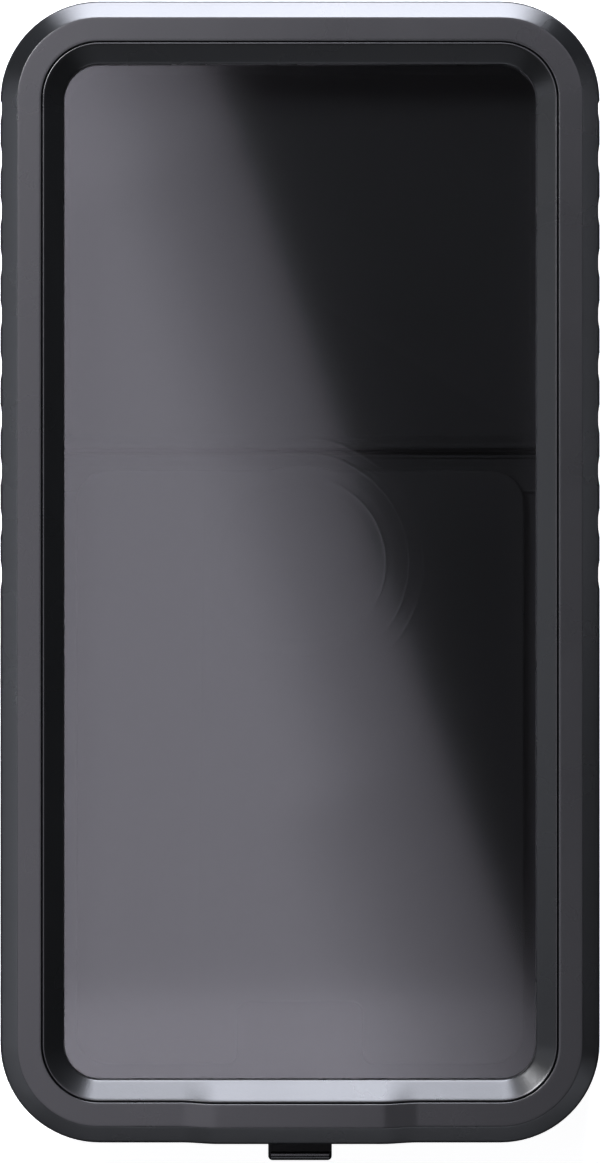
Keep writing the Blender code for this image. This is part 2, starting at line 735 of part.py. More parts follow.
def port_cover(material):
    """Soft plug for the charging opening: plate in its pocket, tapered plug, hinge bead and pull tab."""
    half = COVER_HALF - GAP
    plate_high = COVER_HIGH - GAP
    outer, inner = -COVER_SINK, -COVER_SINK - COVER_THICKNESS
    corners = rectangle(-half, half, COVER_AXIS_Z, plate_high, COVER_CORNER, low_radius=GAP)
    ease = COVER_SINK
    rows = [(0, inner), (0, outer - ease), (ease, outer)]
    cover = loft("port_cover", corners, rows, material, place=on_bottom_wall())
    bead = rod(
        "bead_guide", COVER_BEAD, (-half, COVER_AXIS_Y, COVER_AXIS_Z), (half, COVER_AXIS_Y, COVER_AXIS_Z),
        sides=24,
    )
    reach = COVER_HALF + TRUNNION_REACH - GAP
    trunnions = rod(
        "trunnion_guide", TRUNNION_RADIUS,
        (-reach, COVER_AXIS_Y, COVER_AXIS_Z), (reach, COVER_AXIS_Y, COVER_AXIS_Z), sides=16,
    )
    plug = loft(
        "plug_guide", port_corners(GAP),
        [(0, inner + WEB_OVERLAP), (0, inner - GAP), (PLUG_TAPER, -SIDE_WALL - GAP)],
        place=on_bottom_wall(),
    )
    tab_high = plate_high - TAB_BELOW_COVER_TOP
    tab = loft(
        "tab_guide",
        rectangle(
            -TAB_WIDTH / 2, TAB_WIDTH / 2, Y_BOTTOM - TAB_REACH,
            Y_BOTTOM + COVER_SINK + WEB_OVERLAP, TAB_CORNER,
        ),
        [(0, tab_high - TAB_THICKNESS), (0, tab_high)],
    )
    bead_y = Y_BOTTOM - TAB_REACH + TAB_BEAD_FROM_TIP
    bead_half = TAB_WIDTH / 2 - TAB_CORNER
    pull_bead = rod(
        "pull_bead_guide", TAB_BEAD_RADIUS, (-bead_half, bead_y, tab_high), (bead_half, bead_y, tab_high),
        sides=16,
    )
    join(cover, bead, trunnions, plug, tab, pull_bead)
    return cover


def build():
    clear_scene()
    frame_plastic = finish("black_pc_abs_frame", (62, 63, 67), 0.42)
    shell_plastic = finish("black_pc_abs_shell", (40, 41, 44), 0.50)
    film_plastic = finish("clear_touch_film", (235, 236, 240), 0.06, transmission=1.0)
    silicone = finish("black_silicone", (24, 24, 26), 0.60)
    pad_rubber = finish("pad_silicone", (34, 35, 38), 0.55)
    cover_rubber = finish("tpu_port_cover", (26, 26, 27), 0.35)
    steel = finish("stainless_pin", (168, 170, 174), 0.30, metallic=1.0)

    rear_shell(shell_plastic)
    mount_socket(shell_plastic)
    phone_pad(pad_rubber)
    flap_hinge_pin(steel)

    lid = (
        front_frame(frame_plastic),
        window_bezel(frame_plastic),
        touch_film(film_plastic),
        lid_seal(silicone),
    )
    hang("lid_lift", (0, Y_CENTRE, WALL_TOP), *lid)
    hang("flap_hinge", (0, HINGE_Y, KNUCKLE_Z), camera_flap(shell_plastic), flap_seal(silicone))
    hang("port_hinge", (0, COVER_AXIS_Y, COVER_AXIS_Z), port_cover(cover_rubber))


build()
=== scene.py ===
# %% [markdown]
# # A weatherproof phone case, seen straight down through its window
#
# The case lies on its back. A frame with a clear film is the lid, and a deep tray is the rear half.
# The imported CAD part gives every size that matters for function: this scene only gives each piece its real
# surface, its edges and its material, in the same place and on the same bodies.
# Lengths are written in millimetres and turned into metres once, when a mesh is made.

# %% Load the CAD frame and keep its size
import math

import bmesh
import bpy
import numpy as np
from mathutils import Matrix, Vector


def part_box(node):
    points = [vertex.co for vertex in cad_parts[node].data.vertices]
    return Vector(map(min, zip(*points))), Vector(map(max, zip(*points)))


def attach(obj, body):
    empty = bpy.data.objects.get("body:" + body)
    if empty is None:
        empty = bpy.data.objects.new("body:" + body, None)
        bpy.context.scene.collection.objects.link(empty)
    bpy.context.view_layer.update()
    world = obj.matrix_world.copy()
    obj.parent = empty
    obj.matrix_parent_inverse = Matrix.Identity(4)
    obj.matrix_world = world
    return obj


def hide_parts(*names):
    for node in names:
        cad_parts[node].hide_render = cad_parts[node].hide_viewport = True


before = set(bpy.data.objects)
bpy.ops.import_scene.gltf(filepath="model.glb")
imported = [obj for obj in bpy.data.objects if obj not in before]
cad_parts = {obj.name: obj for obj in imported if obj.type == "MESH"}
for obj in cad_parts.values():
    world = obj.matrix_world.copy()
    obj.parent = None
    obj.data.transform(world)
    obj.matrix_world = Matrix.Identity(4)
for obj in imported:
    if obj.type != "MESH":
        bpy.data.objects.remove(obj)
MM = 0.001


print("CAD nodes:", ", ".join(sorted(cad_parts)))

# %% [markdown]
# ## Sizes
#
# The CAD nodes say how wide, long and high each piece is. Reading them here means that the looks follow the
# part if it is packed again with other sizes. What a box can't tell, such as a fillet or a corner radius,
# is written below it.

# %% Sizes read from the CAD nodes


def low(node):
    return np.array(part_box(node)[0]) / MM


def high(node):
    return np.array(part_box(node)[1]) / MM


HALF = high("rear_shell")[0]
Y_TOP, Y_BOTTOM = high("rear_shell")[1], low("rear_shell")[1]
FILM_LOW, FILM_TOP = low("touch_film")[2], high("touch_film")[2]
PAD_LOW, PAD_TOP = low("phone_pad")[2], high("phone_pad")[2]
PAD_HALF, PAD_Y_LOW, PAD_Y_HIGH = high("phone_pad")[0], low("phone_pad")[1], high("phone_pad")[1]
PIN_HALF, PIN_RADIUS = high("flap_hinge_pin")[0], (high("flap_hinge_pin") - low("flap_hinge_pin"))[1] / 2
HINGE_Y, HINGE_Z = ((high("flap_hinge_pin") + low("flap_hinge_pin")) / 2)[1:]
SOCKET_RADIUS, SOCKET_TOP = high("mount_socket")[0], high("mount_socket")[2]
SOCKET_Y = ((high("mount_socket") + low("mount_socket")) / 2)[1]
RIM_TOP = high("camera_flap")[2]
CAD_RISE = 0.9
FRAME_TOP = high("front_frame")[2] - CAD_RISE
WALL_TOP = high("rear_shell")[2] - CAD_RISE
print(f"half width {HALF:.2f}, length {Y_TOP - Y_BOTTOM:.2f}")
print(f"frame top {FRAME_TOP:.2f}, wall top {WALL_TOP:.2f}")

# %% Sizes that only the looks need
# GAP is the clearance between fitted pieces, and CORNER the radius of the case's corners seen from above.
GAP = 0.3
CORNER = 15.6
# The tray: its back and side walls, the round along its back edge, and the round where wall meets floor.
BACK_WALL, SIDE_WALL, BACK_EDGE, FLOOR_FILLET = 2.4, 3.4, 2.0, 1.0
# The lid: heights of the frame's foot, of its chamfer's foot and of the bezel's lip and underside.
FRAME_LOW, CHAMFER_LOW = WALL_TOP + GAP, FRAME_TOP - 2.8
LIP_TOP, BEZEL_LOW = FRAME_TOP - 2.1, FILM_TOP + GAP
# Insets from the case's outline: the skirt, the band's two edges, then the bezel's outer edge, step and lip.
SKIRT, BAND_OUTER, BAND_INNER = 0.28, 2.88, 6.62
BEZEL_OUTER, BEZEL_STEP, WINDOW = 6.75, 8.25, 10.03
# The rib that plugs into the tray, the ledge that carries the bezel, and the groove of the lid's seal.
RIB_OUTER, RIB_INNER, RIB_LOW = SIDE_WALL + GAP, 6.2, FRAME_LOW - 3.2
LEDGE = FRAME_TOP - 1.7
GROOVE_LOW, GROOVE_HIGH, GROOVE_FLOOR = RIB_LOW + 0.7, RIB_LOW + 2.2, RIB_OUTER + 1.3
# The rim's raised stretch: half its width, the length of its S curve, its height, and how far it bows out.
# FULL is the share that brings a hidden row up to the CAD part's own rise.
RISE_HALF, RISE_BLEND, RISE, RISE_OUT = 15.7, 5.8, 0.55, 0.2
FULL = CAD_RISE / RISE
# Ten grip flutes on each side: where their middles are, the radius that cuts them, and their depth.
FLUTES = Y_TOP - 16.56 - 8.15 * np.arange(10)
FLUTE_RADIUS, FLUTE_DEPTH = 10.0, 0.25
# The hinge: its knuckles' radius, how far they stay inside the plate's faces, and the walls around them.
KNUCKLE, KNUCKLE_FLUSH = 1.15, 0.1
DAM_EDGE = HINGE_Y + KNUCKLE + GAP + 1.3
HINGE_WALL = HINGE_Y - KNUCKLE - 0.4
BAR_TOP = RIM_TOP - 0.2
# Insets of the camera opening and of the recess for the flap's flange, and the flange's thickness.
OPENING, RECESS, FLANGE = 7.4, 6.3, 1.0
# The port cover's pocket and the charging opening behind it: lowest, highest and half width. Then the axis
# of the cover's trunnions.
COVER_LOW, COVER_HIGH, COVER_HALF = 2.4, 11.4, 13.5
PORT_LOW, PORT_HIGH, PORT_HALF = 4.8, 10.4, 10.0
COVER_Y, COVER_Z = Y_BOTTOM + 0.9, COVER_LOW + 1.0

# %% [markdown]
# ## Surfaces as functions
#
# Almost every piece here is one of two surfaces. Either a flat section is carried round a closed outline,
# or an outline is repeated at several heights. Both are a function of two parameters: `s` goes round the
# outline and `v` goes along the section. The outline moves inwards by an inset `d` along its own normal, so
# all corner arcs stay on one centre, as they do on a moulded case whose wall has one thickness.

# %% Outlines, fillets and grids


def loop(corners, inset=0.0, arc=20):
    """Closed outline moved inwards by inset, as an (n, 2) array.

    Each corner is (x, y, radius, shares), where shares are places along the straight that follows it.
    P = C + r (cos a, sin a) on an arc with r = radius - turn inset, and P = A + t (B - A) on a straight.
    """
    xy = np.array([corner[:2] for corner in corners], float)
    ahead = np.roll(xy, -1, 0) - xy
    ahead /= np.linalg.norm(ahead, axis=1, keepdims=True)
    before = np.roll(ahead, 1, 0)
    turn = np.round(before[:, 0] * ahead[:, 1] - before[:, 1] * ahead[:, 0])
    left = np.stack([-ahead[:, 1], ahead[:, 0]], 1)
    side = np.stack([-before[:, 1], before[:, 0]], 1)
    bend = np.maximum([corner[2] for corner in corners] - turn * inset, 0.05)
    centre = xy + (left + side) * (inset + turn * bend)[:, None]
    start = np.arctan2(-turn * side[:, 1], -turn * side[:, 0])
    angle = start[:, None] + turn[:, None] * np.linspace(0, np.pi / 2, arc + 1)
    arcs = centre[:, None] + bend[:, None, None] * np.stack([np.cos(angle), np.sin(angle)], -1)
    parts = []
    for i, corner in enumerate(corners):
        first, last = arcs[i, -1], arcs[(i + 1) % len(corners), 0]
        parts += [arcs[i], first + np.asarray(corner[3], float).reshape(-1, 1) * (last - first)]
    return np.concatenate(parts)


def box_corners(left, right, bottom, top, radius, low_radius=None, sides=((), (), (), ())):
    """An upright rectangle's corners for loop(), with shares along its bottom, right, top and left side."""
    base = radius if low_radius is None else low_radius
    return [
        (left, bottom, base, sides[0]), (right, bottom, base, sides[1]),
        (right, top, radius, sides[2]), (left, top, radius, sides[3]),
    ]


def fillet(corners, steps=5, ease=0.3):
    """A section's corners (d, z, w, radius) rounded to arcs: rows of (d, z, w).

    A support point beside each arc keeps the flat between two arcs flat in its shading.
    """
    data = np.array(corners, float)
    point, share, radius = data[:, :2], data[:, 2], data[:, 3]
    back, on = np.roll(point, 1, 0) - point, np.roll(point, -1, 0) - point
    back_length, on_length = np.linalg.norm(back, axis=1), np.linalg.norm(on, axis=1)
    back, on = back / back_length[:, None], on / on_length[:, None]
    half = np.arccos(np.clip((back * on).sum(1), -1, 1)) / 2
    reach = radius / np.tan(half)
    middle = back + on
    middle /= np.linalg.norm(middle, axis=1, keepdims=True)
    centre = point + middle * (radius / np.sin(half))[:, None]
    first = np.arctan2(*(point + back * reach[:, None] - centre).T[::-1])
    last = np.arctan2(*(point + on * reach[:, None] - centre).T[::-1])
    sweep = (last - first + np.pi) % (2 * np.pi) - np.pi
    angle = first[:, None] + sweep[:, None] * np.linspace(0, 1, steps + 1)
    arc = centre[:, None] + radius[:, None, None] * np.stack([np.cos(angle), np.sin(angle)], -1)
    hold_back = np.minimum(reach + ease, back_length * 0.45)[:, None]
    hold_on = np.minimum(reach + ease, on_length * 0.45)[:, None]
    rows = np.concatenate([(point + back * hold_back)[:, None], arc, (point + on * hold_on)[:, None]], 1)
    shares = np.repeat(share[:, None], rows.shape[1], 1)[..., None]
    return np.concatenate([rows, shares], -1).reshape(-1, 3)


def rise(x, y):
    """Share of the rim's rise: 1 along the middle of the bottom edge, 0 elsewhere, 3t^2 - 2t^3 between."""
    t = np.clip(0.5 - (np.abs(x) - RISE_HALF) / RISE_BLEND, 0, 1)
    return np.where(y > 0, 0.0, t * t * (3 - 2 * t))


def flute_depth(y):
    """Depth of the grip flutes at y: sqrt(R^2 - (y - y_k)^2) - (R - depth) over the nearest flute."""
    near = np.abs(y[..., None] - FLUTES).min(-1)
    return np.sqrt(np.maximum(FLUTE_RADIUS**2 - near**2, 0)) - (FLUTE_RADIUS - FLUTE_DEPTH)


def sweep(corners, rows, fluted=False):
    """Points (row, s) of rows (d, z, w) carried round an outline: (P(s) + N(s) d, z + w rise(P))."""
    rows = np.array(rows, float)
    flat = np.array([loop(corners, d) for d in rows[:, 0]])
    grid = np.concatenate([flat, np.zeros((*flat.shape[:2], 1))], -1)
    if fluted:
        depth = flute_depth(grid[..., 1])
        straight = np.abs(grid[..., 1] - (Y_TOP + Y_BOTTOM) / 2) < (Y_TOP - Y_BOTTOM) / 2 - CORNER
        bite = np.where(straight & (np.abs(grid[..., 0]) > HALF / 2), depth, 0)
        grid[..., 0] = np.sign(grid[..., 0]) * np.minimum(np.abs(grid[..., 0]), HALF - bite)
    lift = rows[:, 2, None] * rise(grid[..., 0], grid[..., 1])
    grid[..., 1] -= np.minimum(lift, 1) * RISE_OUT
    grid[..., 2] = rows[:, 1, None] + RISE * lift
    return grid


def quads(rows, count, ring):
    """Corner numbers of a (rows, count) grid's quads. It closes round s, and along v too if it is a ring."""
    v, s = np.meshgrid(np.arange(rows if ring else rows - 1), np.arange(count), indexing="ij")
    up, on = (v + 1) % rows, (s + 1) % count
    return np.stack([v * count + s, v * count + on, up * count + on, up * count + s], -1).reshape(-1, 4)


def solid(name, grid, ring=False, material=None, sharp=35):
    """Mesh object from a (rows, s, 3) grid in millimetres, with a flat face at each end if it isn't a ring."""
    rows, count = grid.shape[:2]
    faces = quads(rows, count, ring).tolist()
    if not ring:
        faces += [list(range(count))[::-1], list(range((rows - 1) * count, rows * count))]
    data = bpy.data.meshes.new(name)
    data.from_pydata(grid.reshape(-1, 3) * MM, [], faces)
    return dressed(name, data, material, sharp)


def dressed(name, data, material=None, sharp=35):
    """Turns faces outward, shades the mesh smooth up to an angle in degrees, and links it as an object."""
    mesh = bmesh.new()
    mesh.from_mesh(data)
    bmesh.ops.recalc_face_normals(mesh, faces=mesh.faces)
    mesh.to_mesh(data)
    mesh.free()
    data.shade_smooth()
    data.set_sharp_from_angle(angle=math.radians(sharp))
    item = bpy.data.objects.new(name, data)
    bpy.context.scene.collection.objects.link(item)
    if material:
        data.materials.append(material)
    return item


def flat_rows(*rows):
    """Rows of a prism or a stepped plug: (d, z) with no share of the rim's rise."""
    return [(d, z, 0) for d, z in rows]


def round_rows(radius, depth, start, end, base, steps=6):
    """Rows of a quarter round from wall to flat: d = base + r (1 - sin a), z = depth + r (1 - cos a)."""
    a = np.linspace(start, end, steps + 1) * np.pi / 2
    return [(base + radius * (1 - np.sin(t)), depth + radius * (1 - np.cos(t)), 0) for t in a]


def shares_of(values, start, end):
    return (np.sort(np.asarray(values)) - start) / (end - start)


def case_outline(flutes=False):
    """The case's outline, with close points where the rim rises and, if asked, in every grip flute."""
    straight = HALF - CORNER
    blend = np.linspace(-0.5, 0.5, 17) * RISE_BLEND
    x = np.concatenate([RISE_HALF + blend, -RISE_HALF - blend, np.linspace(-12, 12, 5), [-24, 24]])
    bottom = shares_of(x, -straight, straight)
    y = np.linspace(Y_BOTTOM + CORNER + 6, Y_TOP - CORNER - 3, 9)
    if flutes:
        reach = math.sqrt(FLUTE_RADIUS**2 - (FLUTE_RADIUS - FLUTE_DEPTH) ** 2)
        y = np.unique(np.concatenate([
            (FLUTES[:, None] + reach * np.sin(np.linspace(-np.pi / 2, np.pi / 2, 13))).ravel(),
            (FLUTES[:, None] + np.array([-reach - 0.15, reach + 0.15])).ravel(),
            np.linspace(Y_BOTTOM + CORNER + 3, FLUTES.min() - 6, 6),
        ]))
        y = y[y < Y_TOP - CORNER]
    right = shares_of(y, Y_BOTTOM + CORNER, Y_TOP - CORNER)
    left = np.sort(1 - right)
    return box_corners(-HALF, HALF, Y_BOTTOM, Y_TOP, CORNER, sides=(bottom, right, (0.25, 0.5, 0.75), left))


CASE = case_outline()
GRIP_CASE = case_outline(flutes=True)
print("points round the case:", len(loop(CASE)), "and with flutes:", len(loop(GRIP_CASE)))

# %% [markdown]
# ## Joining and cutting
#
# Pieces with pockets start as a plain surface and are cut by other plain surfaces. The cut is worked out once
# and kept as the piece's own mesh. Its edges are then found by angle, so that arcs shade smooth and corners
# stay crisp.

# %% Booleans, turned and drawn solids


def shaped(target, steps, material=None, sharp=30):
    """Joins and cuts ("UNION" or "DIFFERENCE", tool) one after another, and keeps the result as one mesh."""
    for operation, tool in steps:
        step = target.modifiers.new(tool.name, "BOOLEAN")
        step.operation, step.object = operation, tool
    bpy.context.view_layer.update()
    result = target.evaluated_get(bpy.context.evaluated_depsgraph_get())
    data = bpy.data.meshes.new_from_object(result)
    name = target.name
    for item in [target, *(tool for _, tool in steps)]:
        bpy.data.objects.remove(item, do_unlink=True)
    data.materials.clear()
    data.name = name
    return dressed(name, data, material, sharp)


def lathe(name, profile, x, y, count=96, material=None):
    """A profile of (radius, z) turned about a vertical line: (x + r cos a, y + r sin a, z)."""
    profile = np.array(profile, float)
    a = np.arange(count) * 2 * np.pi / count
    r, z = profile[:, :1], profile[:, 1:]
    grid = np.stack([x + r * np.cos(a), y + r * np.sin(a), z + 0 * a], -1)
    return solid(name, grid, material=material)


def bar_along_x(name, profile, stations, material=None):
    """A closed (y, z) profile drawn along X: (x, y, z), one row for each station x."""
    profile = np.array(profile, float)
    x = np.array(stations, float)[:, None]
    grid = np.stack([x + 0 * profile[:, 0], profile[:, 0] + 0 * x, profile[:, 1] + 0 * x], -1)
    return solid(name, grid, material=material)


def circle(y, z, radius, count=48):
    a = np.arange(count) * 2 * np.pi / count
    return np.stack([y + radius * np.cos(a), z + radius * np.sin(a)], -1)


def upright(name, corners, rows, material=None):
    """A prism that stands on the bottom wall: outline in X and Z, rows (d, y)."""
    grid = sweep(corners, [(d, y, 0) for d, y in rows])
    return solid(name, grid[..., [0, 2, 1]], material=material)


def place(item, body, slot, *nodes):
    """Says which CAD body the piece rides on and which CAD nodes it stands for. The material slot argument is
    not used.
    """
    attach(item, body)
    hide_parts(*nodes)
    print(f"{item.name}: {len(item.data.polygons)} faces, rides on {body}")
    return item


# %% [markdown]
# ## Materials
#
# A helper adds one node with its settings and its links. Colours are written as on screen and turned into
# linear light once.

# %% Material helpers


def colour(code):
    """Linear RGBA of an sRGB colour such as "2b2c2f"."""
    c = np.array([int(code[i:i + 2], 16) / 255 for i in (0, 2, 4)])
    return (*np.where(c <= 0.04045, c / 12.92, ((c + 0.055) / 1.055) ** 2.4).tolist(), 1.0)


def add(tree, kind, settings=None, **inputs):
    """Adds a node. An input is a value, or a socket of another node to link from."""
    node = tree.nodes.new(kind)
    for key, value in (settings or {}).items():
        setattr(node, key, value)
    for key, value in inputs.items():
        socket = node.inputs[int(key[1:]) if key[0] == "_" else key.replace("_", " ")]
        if isinstance(value, bpy.types.NodeSocket):
            tree.links.new(value, socket)
        else:
            socket.default_value = value
    return node


def new_material(name):
    item = bpy.data.materials.new(name)
    item.use_nodes = True
    item.node_tree.nodes.clear()
    return item, item.node_tree


def moulded(name, code, roughness, grain, depth, ior=1.55, spread=0.06, specular=0.5):
    """A moulded piece with a fine eroded grain.

    grain is the size of one grain in millimetres and depth its height in millimetres. The same noise moves the
    roughness a little, because a grain's tops are smoother than its valleys.
    """
    item, tree = new_material(name)
    place_in = add(tree, "ShaderNodeTexCoord")
    noise = add(tree, "ShaderNodeTexNoise", Vector=place_in.outputs["Object"],
                Scale=1 / (grain * MM), Detail=2.0, Roughness=0.55)
    bump = add(tree, "ShaderNodeBump", Height=noise.outputs["Fac"], Distance=depth * MM, Strength=1.0)
    cloud = add(tree, "ShaderNodeTexNoise", Vector=place_in.outputs["Object"], Scale=1 / (11 * MM), Detail=3.0)
    rough = add(tree, "ShaderNodeMapRange", Value=cloud.outputs["Fac"], _3=roughness - spread,
                _4=roughness + spread)
    shader = add(tree, "ShaderNodeBsdfPrincipled", Base_Color=colour(code), Roughness=rough.outputs["Result"],
                 IOR=ior, Normal=bump.outputs["Normal"], Specular_IOR_Level=specular)
    add(tree, "ShaderNodeOutputMaterial", Surface=shader.outputs["BSDF"])
    return item


# %% Moulded plastics and rubbers
# Injection moulded PC/ABS with a spark-eroded grain: the lid's ring is satin, so its chamfers catch a wide soft
# highlight and still show their own near black.
frame_plastic = moulded("frame PC/ABS, eroded satin", "0e0f10", 0.28, grain=0.35, depth=0.008, spread=0.03)
# The tray is the same resin from a much duller tool. A deep blasted grain scatters nearly all of its gloss, so
# it has almost no specular level: its floor looks evenly dark, and its groove and top edge keep their shadow.
shell_plastic = moulded("shell PC/ABS, matt", "2b2c2d", 0.70, grain=0.4, depth=0.005, ior=1.5, specular=0.02)
# Silicone pad, pressed in a blasted mould: a touch lighter than the tray, and without any highlight.
pad_rubber = moulded("pad silicone, blasted", "303132", 0.75, grain=0.5, depth=0.004, ior=1.43, specular=0.02)
# Glass-filled nylon for the socket's ring: a dull, slightly speckled face.
socket_plastic = moulded("socket nylon, glass filled", "26272a", 0.56, grain=0.25, depth=0.006, ior=1.53)
# TPU plug from a polished mould: near black, with a clear narrow highlight along its bead.
cover_rubber = moulded("port cover TPU, polished mould", "0e0e0f", 0.20, grain=0.6, depth=0.001, spread=0.03)
# Seals: soft black silicone, and dull. Their colour is the silicone's black taken darker, so the flap's seal
# reads as the groove's shade where it lies in the groove: partly painted shade.
silicone = moulded("seal silicone", "0d0d0e", 0.55, grain=0.6, depth=0.002, ior=1.41, specular=0.1)


def drawn_steel(name):
    """Stainless wire, ground round: fine rings of scratches about its length."""
    item, tree = new_material(name)
    place_in = add(tree, "ShaderNodeTexCoord")
    along = add(tree, "ShaderNodeMapping", Vector=place_in.outputs["Object"], Scale=(30.0, 1.0, 1.0))
    noise = add(tree, "ShaderNodeTexNoise", Vector=along.outputs["Vector"], Scale=1 / (4 * MM), Detail=2.0)
    bump = add(tree, "ShaderNodeBump", Height=noise.outputs["Fac"], Distance=0.002 * MM, Strength=0.6)
    shader = add(tree, "ShaderNodeBsdfPrincipled", Base_Color=colour("b9bbbe"), Metallic=1.0, Roughness=0.26,
                 Normal=bump.outputs["Normal"])
    add(tree, "ShaderNodeOutputMaterial", Surface=shader.outputs["BSDF"])
    return item


steel = drawn_steel("stainless wire")


def clear_film(name, haze):
    """Hard-coated PET film: each face mirrors by Fresnel's law, with a little haze, and lets the rest through.

    The transparent part doesn't refract: a refracting solid would hide the pad behind noise, and a 0.4 mm film
    bends light too little to see. The haze is what makes the border of the mirrored light soft. A slow swell
    and three rings 1.4 micrometres high, where the film lies over the socket's round relief, bend it by a trace.
    """
    item, tree = new_material(name)
    place_in = add(tree, "ShaderNodeTexCoord")
    wave = add(tree, "ShaderNodeTexNoise", Vector=place_in.outputs["Object"], Scale=1 / (60 * MM), Detail=1.0)
    swell = add(tree, "ShaderNodeBump", Height=wave.outputs["Fac"], Distance=0.03 * MM, Strength=0.3)
    centred = add(tree, "ShaderNodeVectorMath", {"operation": "SUBTRACT"}, _0=place_in.outputs["Object"],
                  _1=(0.0, SOCKET_Y * MM, FILM_TOP * MM))
    radius = add(tree, "ShaderNodeVectorMath", {"operation": "LENGTH"}, _0=centred.outputs["Vector"])
    span = 25
    reach = add(tree, "ShaderNodeMath", {"operation": "DIVIDE"}, _0=radius.outputs["Value"], _1=span * MM)
    rings = add(tree, "ShaderNodeValToRGB", Fac=reach.outputs["Value"])
    rings.color_ramp.interpolation = "EASE"
    rings.color_ramp.elements[1].color = (0, 0, 0, 1)
    for ring in (13.5, 17.2, 19.5):
        for offset, level in ((-0.45, 0.0), (0.0, 1.0), (0.45, 0.0)):
            rings.color_ramp.elements.new((ring + offset) / span).color = (level, level, level, 1)
    bump = add(tree, "ShaderNodeBump", Height=rings.outputs["Color"], Distance=0.0014 * MM, Strength=1.0,
               Normal=swell.outputs["Normal"])
    mirror = add(tree, "ShaderNodeBsdfGlossy", Color=(1.0, 1.0, 1.0, 1.0), Roughness=haze,
                 Normal=bump.outputs["Normal"])
    through = add(tree, "ShaderNodeBsdfTransparent", Color=(0.88, 0.88, 0.89, 1.0))
    fresnel = add(tree, "ShaderNodeFresnel", IOR=1.52)
    mix = add(tree, "ShaderNodeMixShader", _0=fresnel.outputs["Fac"], _1=through.outputs["BSDF"],
              _2=mirror.outputs["BSDF"])
    add(tree, "ShaderNodeOutputMaterial", Surface=mix.outputs["Shader"])
    return item


film_plastic = clear_film("clear PET film, hard coat", 0.075)

# %% [markdown]
# ## Front frame
#
# The ring of the lid is the piece that the eye meets first: a steep outer chamfer, a flat band and, hidden
# under it, a rib that plugs into the tray. It is one moulding, so one closed section is carried round the case.
# Over the charging opening the section rises on an S curve. The hidden rib follows the CAD part's full 0.9 mm,
# and what shows rises by 0.55 mm and bows out by 0.2 mm, because that gives the contours of the photograph.
# The step under the film stays level. The band's edges are 0.15 mm fillets, enough to catch a line of light.

# %% Front frame
FRAME_SECTION = fillet([
    (SKIRT, FRAME_LOW, 1, 0.12),
    (SKIRT, CHAMFER_LOW, 1, 0.2),
    (BAND_OUTER, FRAME_TOP, 1, 0.15),
    (BAND_INNER, FRAME_TOP, 1, 0.15),
    (BAND_INNER, LEDGE, 1, 0.05),
    (BEZEL_STEP - GAP, LEDGE, 1, 0.08),
    (BEZEL_STEP - GAP, FILM_LOW, 0, 0.08),
    (RIB_INNER, FILM_LOW, 0, 0.08),
    (RIB_INNER, RIB_LOW, FULL, 0.2),
    (RIB_OUTER, RIB_LOW, FULL, 0.4),
    (RIB_OUTER, GROOVE_LOW, FULL, 0.06),
    (GROOVE_FLOOR, GROOVE_LOW, FULL, 0.06),
    (GROOVE_FLOOR, GROOVE_HIGH, FULL, 0.06),
    (RIB_OUTER, GROOVE_HIGH, FULL, 0.06),
    (RIB_OUTER, FRAME_LOW, 1, 0.06),
], steps=4)
front = solid("front_frame_skin", sweep(CASE, FRAME_SECTION), ring=True, material=frame_plastic)
place(front, "front", "frame_plastic", "front_frame")

# %% [markdown]
# ## Window bezel
#
# A second ring sits inside the first and slopes down to the film. The CAD part leaves 0.3 mm between the two.
# The mouth of the seam is drawn 0.13 mm wide here, because the photograph shows a hairline and its thin light
# lip. The ring's outer edge follows the frame's rise while its lip stays level on the film, so its slope
# steepens over the charging opening: that is why the bright lower slope shows two dark ripples.

# %% Window bezel
bezel = solid("window_bezel_skin", sweep(CASE, fillet([
    (BEZEL_OUTER, FRAME_TOP, 1, 0.2),
    (WINDOW, LIP_TOP, 0, 0.5),
    (WINDOW, BEZEL_LOW, 0, 0.08),
    (BEZEL_STEP, BEZEL_LOW, 0, 0.06),
    (BEZEL_STEP, FRAME_TOP - 1.4, 1, 0.06),
    (BEZEL_OUTER, FRAME_TOP - 1.4, 1, 0.06),
], steps=6)), ring=True, material=frame_plastic)
place(bezel, "front", "frame_plastic", "window_bezel")

# %% [markdown]
# ## Touch film
#
# The film is a thin slab that the bezel holds by its edge. It is drawn as rings of one outline shrinking to its
# middle, because a film of this kind is never quite flat: it bows by a tenth of a millimetre, and that bends
# the edge of the light that it mirrors.

# %% Touch film


def bowed_slab(name, inset, bottom, top, bow, material):
    """Slab of shrinking outlines: P = C + q (L - C), z = top + bow (1 - x^2/a^2)(1 - y^2/b^2) at share q."""
    edge = loop(CASE, inset)
    centre = (edge.max(0) + edge.min(0)) / 2
    half = (edge.max(0) - edge.min(0)) / 2
    q = np.array([0.04, 0.1, 0.2, 0.3, 0.4, 0.5, 0.6, 0.7, 0.78, 0.85, 0.91, 0.96, 1.0])[:, None, None]
    flat = centre + q * (edge - centre)
    u, v = ((flat - centre) / half).transpose(2, 0, 1)
    lift = bow * (1 - u**2) * (1 - v**2)
    under = np.concatenate([flat, (bottom + lift)[..., None]], -1)
    over = np.concatenate([flat, (top + lift)[..., None]], -1)
    return solid(name, np.concatenate([under, over[::-1]]), material=material)


film = bowed_slab("touch_film_skin", WINDOW - 1.5, FILM_LOW, FILM_TOP, 0.12, film_plastic)
place(film, "front", "clear_film", "touch_film")

# %% [markdown]
# ## Lid seal and flap seal
#
# Both are silicone cords in a groove. The side that wipes along the wall is crested, so that a light push makes
# a narrow line of high pressure.

